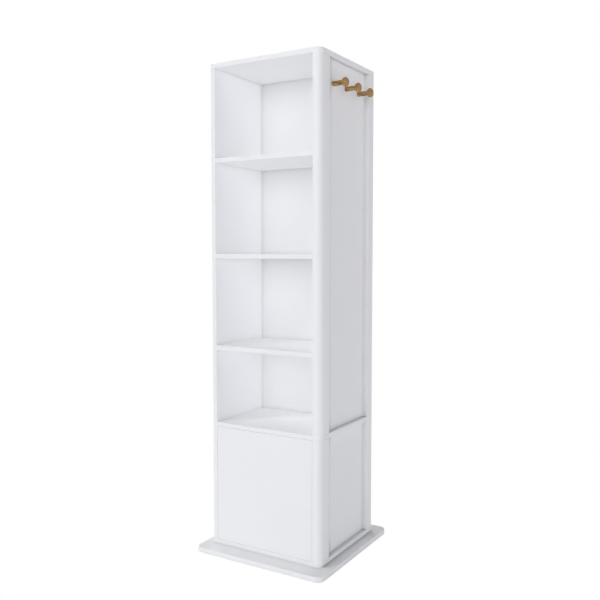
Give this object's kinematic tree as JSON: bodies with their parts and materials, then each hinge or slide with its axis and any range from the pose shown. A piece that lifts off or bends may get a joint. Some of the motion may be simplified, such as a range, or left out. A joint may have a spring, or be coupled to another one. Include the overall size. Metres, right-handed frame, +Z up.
{
  "type": "rotating bookcase tower",
  "caption": "Tall white bookcase tower with open bays over a push-to-open cupboard, wooden side pegs and a flat base plate on which the whole tower turns.",
  "frame": {"origin": "centre of the base plate's underside, on the floor and on the turning axis", "axes": "+Z up along the turning axis; -Y is the front with the open bays and the door; +X is the side with the framed panels and pegs"},
  "size_m": [0.4955, 0.492, 1.65],
  "materials": {
    "white_paint": "satin white lacquer on board",
    "peg_wood": "oiled beech",
    "steel": "zinc plated",
    "white_plastic": "moulded, matt"
  },
  "bodies": {
    "base": {"base_plate": "white_paint", "turntable_lower_ring": "steel", "ring_screw_1": "steel", "ring_screw_2": "steel", "ring_screw_3": "steel", "ring_screw_4": "steel"},
    "ball_cage": {"ball_cage": "steel"},
    "tower": {"bottom_board": "white_paint", "latch_housing": "white_plastic", "latch_screw_1": "steel", "latch_screw_2": "steel", "left_side_panel": "white_paint", "lower_corner_post": "white_paint", "lower_inner_back": "white_paint", "lower_outer_back": "white_paint", "lower_side_panel": "white_paint", "mid_board": "white_paint", "peg_1": "peg_wood", "peg_2": "peg_wood", "peg_3": "peg_wood", "pivot_pin_bottom": "steel", "pivot_pin_top": "steel", "rear_stile": "white_paint", "shelf_1": "white_paint", "shelf_2": "white_paint", "shelf_3": "white_paint", "top_board": "white_paint", "turntable_bolt_1": "steel", "turntable_bolt_2": "steel", "turntable_bolt_3": "steel", "turntable_bolt_4": "steel", "turntable_upper_ring": "steel", "upper_corner_post": "white_paint", "upper_inner_back": "white_paint", "upper_outer_back": "white_paint", "upper_side_panel": "white_paint"},
    "door": {"door": "white_paint", "door_bushing_bottom": "white_plastic", "door_bushing_top": "white_plastic", "latch_strike": "steel"},
    "latch_plunger": {"latch_plunger": "white_plastic"}
  },
  "joints": [
    {"name": "swivel", "type": "hinge", "parent": "base", "child": "tower", "pos_m": [0, 0, 0.0145], "axis": [0, 0, 1], "continuous": true},
    {"name": "cage_spin", "type": "hinge", "parent": "base", "child": "ball_cage", "pos_m": [0, 0, 0.0145], "axis": [0, 0, 1], "continuous": true},
    {"name": "door_hinge", "type": "hinge", "parent": "tower", "child": "door", "pos_m": [-0.1735, -0.18, 0.2315], "axis": [0, 0, -1], "range_deg": [0, 100]},
    {"name": "plunger_slide", "type": "slide", "parent": "tower", "child": "latch_plunger", "axis": [0, -1, 0], "range_m": [0, 0.0125]}
  ],
  "couplings": [
    {"joint": "cage_spin", "follows": "swivel", "ratio": 0.5},
    {"joint": "plunger_slide", "follows": "door_hinge", "m_per_rad": 0.006875}
  ]
}
